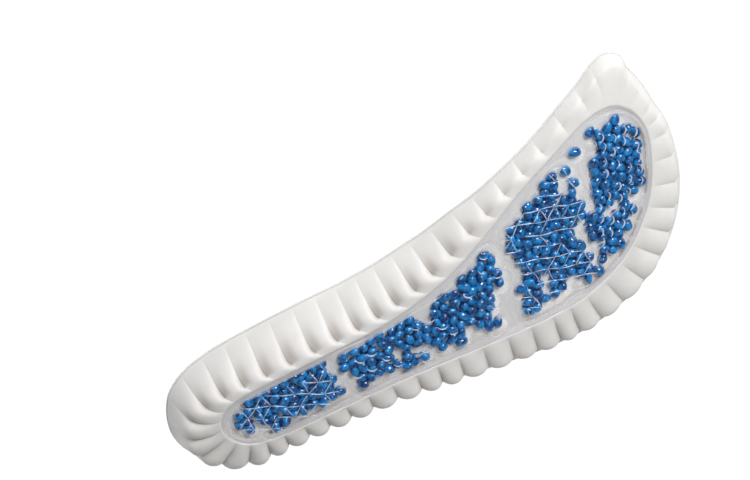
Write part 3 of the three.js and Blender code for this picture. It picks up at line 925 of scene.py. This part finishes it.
def add_node(tree, kind, settings=None, **inputs):
    """Shader node with its settings and input values."""
    node = tree.nodes.new("ShaderNode" + kind)
    for name, value in (settings or {}).items():
        setattr(node, name, value)
    for name, value in inputs.items():
        node.inputs[name.replace("_", " ")].default_value = value
    return node


def new_material(name, **inputs):
    """Material with a Principled shader and its input values."""
    material = bpy.data.materials.new(name)
    material.use_nodes = True
    shader = material.node_tree.nodes["Principled BSDF"]
    for socket, value in inputs.items():
        shader.inputs[socket.replace("_", " ")].default_value = value
    return material, material.node_tree, shader


def noise(tree, scale, detail=3.0):
    """Noise over the object's own coordinates, scale in cycles for each metre."""
    place = add_node(tree, "TexCoord")
    texture = add_node(tree, "TexNoise", Scale=scale, Detail=detail)
    tree.links.new(place.outputs["Object"], texture.inputs["Vector"])
    return texture.outputs["Fac"]


def colour_between(tree, factor, tones, start=0.3, stop=0.7):
    """Colour that goes from the first tone to the second while the factor goes from start to stop."""
    ramp = add_node(tree, "ValToRGB")
    for element, position, tone in zip(ramp.color_ramp.elements, (start, stop), tones):
        element.position = position
        element.color = (*tone, 1)
    tree.links.new(factor, ramp.inputs["Fac"])
    return ramp.outputs["Color"]


def ranged(tree, value, low, high):
    """A value from 0 to 1 stretched to a range."""
    scaled = add_node(tree, "MapRange", To_Min=low, To_Max=high)
    tree.links.new(value, scaled.inputs["Value"])
    return scaled.outputs["Result"]


def mixed(tree, factor, first, second):
    """Mix of two shaders, from the first at 0 to the second at 1."""
    both = add_node(tree, "MixShader")
    for source, socket in zip((factor, first, second), both.inputs):
        tree.links.new(source, socket)
    return both.outputs["Shader"]


def add_bump(tree, shaders, height, strength, distance):
    """Fine relief on shaders, distance in metres."""
    bump = add_node(tree, "Bump", Strength=strength, Distance=distance)
    tree.links.new(height, bump.inputs["Height"])
    for shader in shaders:
        tree.links.new(bump.outputs["Normal"], shader.inputs["Normal"])


def openness(tree, distance):
    """How open a place of the piece itself is, from 0 deep in a crease to 1."""
    open_sky = add_node(tree, "AmbientOcclusion", {"only_local": True}, Distance=distance)
    return open_sky.outputs["AO"]


def multiplied(tree, first, second):
    """Product of two colours: sockets 6 and 7 of the node take them, and 2 gives the result."""
    product = add_node(tree, "Mix", {"data_type": "RGBA", "blend_type": "MULTIPLY"}, Factor=1.0)
    tree.links.new(first, product.inputs[6])
    tree.links.new(second, product.inputs[7])
    return product.outputs[2]


def foam_material():
    """Matt white foam, with painted warm grey shade in its creases and beside them on the arch-side ribs.
    """
    material, tree, shader = new_material(
        "white_foam", Roughness=0.6, Specular_IOR_Level=0.25, Subsurface_Weight=0.15,
        Subsurface_Scale=0.002, Subsurface_Radius=(1.0, 0.8, 0.65))
    # Painted shade: the foam goes warm grey where its own creases shut it in.
    tone = colour_between(tree, openness(tree, CREASE_SHADE_REACH), FOAM_CREASE_SHADE_TONES, start=0.4, stop=0.92)
    # Painted shade beside each arch-side crease, read from the mesh.
    mask = add_node(tree, "Attribute", {"attribute_name": "painted_rib_shade"})
    for tint in (
        colour_between(tree, noise(tree, 60), FOAM_CLOUDS),
        colour_between(tree, mask.outputs["Fac"], PAINTED_RIB_SHADE_TONES, start=0, stop=1),
    ):
        tone = multiplied(tree, tone, tint)
    tree.links.new(tone, shader.inputs["Base Color"])
    add_bump(tree, [shader], noise(tree, 1500), strength=0.15, distance=0.0002)
    return material


def bead_material():
    """Glossy blue gel, lighter and darker within each bead."""
    material, tree, shader = new_material(
        "blue_gel", Roughness=0.12, Specular_IOR_Level=0.7, Coat_Weight=1.0, Coat_Roughness=0.05,
        Subsurface_Weight=0.2, Subsurface_Scale=0.002, Subsurface_Radius=(0.1, 0.5, 1.0))
    tone = colour_between(tree, noise(tree, 380, detail=1.0), GEL_TONES, start=0.34, stop=0.66)
    tree.links.new(tone, shader.inputs["Base Color"])
    add_bump(tree, [shader], noise(tree, 500), strength=0.08, distance=0.0003)
    return material


def clear_over(tree, shader, share):
    """Glossy clear plastic, with a share of the shader over it, which lets the lamps' light through."""
    back = add_node(tree, "NewGeometry").outputs["Backfacing"]
    to_lamp = add_node(tree, "LightPath").outputs["Is Shadow Ray"]
    clear = add_node(tree, "BsdfTransparent").outputs["BSDF"]
    gloss = add_node(tree, "BsdfGlossy", Roughness=CLEAR_ROUGHNESS)
    plastic = mixed(tree, ranged(tree, back, CLEAR_SHINE, 0.0), clear, gloss.outputs["BSDF"])
    covered = mixed(tree, share, plastic, shader.outputs["BSDF"])
    lit_through = mixed(tree, to_lamp, covered, clear)
    tree.links.new(lit_through, tree.nodes["Material Output"].inputs["Surface"])
    add_bump(tree, [shader, gloss], noise(tree, 900), strength=0.25, distance=0.0004)


def window_material():
    """Clear sheet over the pods, frosted between them."""
    material, tree, shader = new_material(
        "clear_sheet", Base_Color=(*FROST_COLOUR, 1), Roughness=0.16, Specular_IOR_Level=0.6)
    mask = add_node(tree, "Attribute", {"attribute_name": "frost"})
    clear_over(tree, shader, ranged(tree, mask.outputs["Fac"], *FROST_SHARE))
    return material


def ridge_material(name, colour, share):
    """Pale raised lines of the sheet, stronger in some places than in others; on the lattice and crescent
    ridges the pale colour is a painted highlight.
    """
    material, tree, shader = new_material(
        name, Base_Color=(*colour, 1), Roughness=0.22, Specular_IOR_Level=0.6)
    clear_over(tree, shader, ranged(tree, noise(tree, 160), *share))
    return material


def cover_material():
    """White cloth with a fine square weave."""
    material, tree, shader = new_material(
        "cover_cloth", Roughness=0.85, Sheen_Weight=0.25, Sheen_Roughness=0.5)
    tone = colour_between(tree, noise(tree, 60), CLOTH_TONES)
    tree.links.new(tone, shader.inputs["Base Color"])
    place = add_node(tree, "TexCoord")
    weave = []
    for direction in ("X", "Y"):
        wave = add_node(
            tree, "TexWave", {"bands_direction": direction}, Scale=CLOTH_THREADS, Distortion=0.4)
        tree.links.new(place.outputs["Object"], wave.inputs["Vector"])
        weave.append(wave.outputs["Fac"])
    both = add_node(tree, "Math", {"operation": "MAXIMUM"})
    for k, socket in enumerate(weave):
        tree.links.new(socket, both.inputs[k])
    add_bump(tree, [shader], both.outputs["Value"], strength=0.35, distance=0.0003)
    return material


def floor_material():
    """Dull floor that glows, for the photograph's white ground."""
    material, _, _ = new_material(
        "floor", Base_Color=(*FLOOR_COLOUR, 1), Roughness=0.8, Specular_IOR_Level=0.1,
        Emission_Color=(1, 1, 1, 1), Emission_Strength=FLOOR_GLOW)
    return material


def make_floor():
    """Square floor under the part."""
    mesh = bpy.data.meshes.new("floor")
    half = FLOOR_SIZE / 2
    corners = [(-half, -half, 0), (half, -half, 0), (half, half, 0), (-half, half, 0)]
    mesh.from_pydata(corners, [], [(0, 1, 2, 3)])
    mesh.materials.append(floor_material())
    floor = bpy.data.objects.new("floor", mesh)
    bpy.context.scene.collection.objects.link(floor)


def add_light(name, direction, distance, size, power, colour):
    """Square area light that shines at the part from a direction."""
    data = bpy.data.lights.new(name, "AREA")
    data.size = size
    data.energy = power
    data.color = colour
    light = bpy.data.objects.new(name, data)
    light.location = Vector(direction).normalized() * distance
    light.rotation_mode = "QUATERNION"
    light.rotation_quaternion = Vector(direction).to_track_quat("Z", "Y")
    bpy.context.scene.collection.objects.link(light)


def make_lights():
    """Lamps, and the faint light of the room."""
    for name, light in LIGHTS.items():
        add_light(name, **light)
    world = bpy.data.worlds.new("studio")
    world.use_nodes = True
    background = world.node_tree.nodes["Background"]
    background.inputs["Color"].default_value = (*WORLD_COLOUR, 1)
    background.inputs["Strength"].default_value = WORLD_LIGHT
    bpy.context.scene.world = world


def make_camera():
    """Camera at the photograph's angle, with the aim point at its pixel."""
    level = math.cos(CAMERA_ELEVATION)
    level_x, level_y = level * math.cos(CAMERA_AZIMUTH), level * math.sin(CAMERA_AZIMUTH)
    back = Vector((level_x, level_y, math.sin(CAMERA_ELEVATION)))
    level_right = Vector((0, 0, 1)).cross(back).normalized()
    level_up = back.cross(level_right)
    right = level_right * math.cos(CAMERA_ROLL) + level_up * math.sin(CAMERA_ROLL)
    up = back.cross(right)
    data = bpy.data.cameras.new("camera")
    data.sensor_width = SENSOR_WIDTH
    data.lens = SENSOR_WIDTH * FOCAL_PIXELS / FRAME_WIDTH
    camera = bpy.data.objects.new("camera", data)
    scale = CAMERA_DISTANCE / FOCAL_PIXELS
    across = (AIM_PIXEL[0] - FRAME_WIDTH / 2) * scale
    down = (AIM_PIXEL[1] - FRAME_HEIGHT / 2) * scale
    aim = Vector(AIM_POINT) + Vector((*ORIGIN_SHIFT, 0))
    eye = (aim - right * across + up * down + back * CAMERA_DISTANCE) * MM
    turn = Matrix((right, up, back)).transposed()
    camera.matrix_world = Matrix.Translation(eye) @ turn.to_4x4()
    bpy.context.scene.collection.objects.link(camera)
    bpy.context.scene.camera = camera


def origin_shift():
    """Shift from the tables' frame to the row frame, from the foam's packed box."""
    rim = rib_surface(even_places(PACKED_COLUMNS_PER_RIB), np.float64(PROFILE_END))
    low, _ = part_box("foam_body")
    return low.x / MM - rim[:, 0].min(), low.y / MM - rim[:, 1].min()


for old in list(bpy.data.objects):
    bpy.data.objects.remove(old)
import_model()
ORIGIN_SHIFT = origin_shift()
bpy.context.scene.view_settings.view_transform = "Standard"

make_camera()
make_lights()
make_floor()

fields = {name: pod_beads(pod, OUTLINES[name], seed) for seed, (name, pod) in enumerate(PODS.items())}
fields["stray_bead"] = stray_beads()
every_bead = sum(fields.values(), [])

cup, painted_rib_shades = foam_shell()
foam = make_piece("foam_cup", cup, foam_material(), ["foam_body"])
# Painted shade on the arch-side ribs, as a value at each point.
add_values(foam, "painted_rib_shade", painted_rib_shades)
sheet = window_shell()
window = make_piece("window_sheet", sheet, window_material(), ["clear_window"])
add_values(window, "frost", frost(sheet, every_bead))
# Painted highlight: the clear ridges get a patchy pale colour in place of their highlights.
ridges = ridge_material("clear_ridges", RIDGE_HIGHLIGHT_COLOUR, RIDGE_HIGHLIGHT_SHARE)
make_piece("window_ridges", ridge_shell(), ridges)
lines = ridge_material("clear_lines", LINE_COLOUR, LINE_SHARE)
make_piece("window_lines", line_shell(every_bead), lines)
gel = bead_material()
for name, beads in fields.items():
    make_piece(name.split("_")[0] + "_gel", bead_shell(beads), gel, [name])
cover = make_piece("cover_cloth", cover_shell(), cover_material(), ["top_cover"])
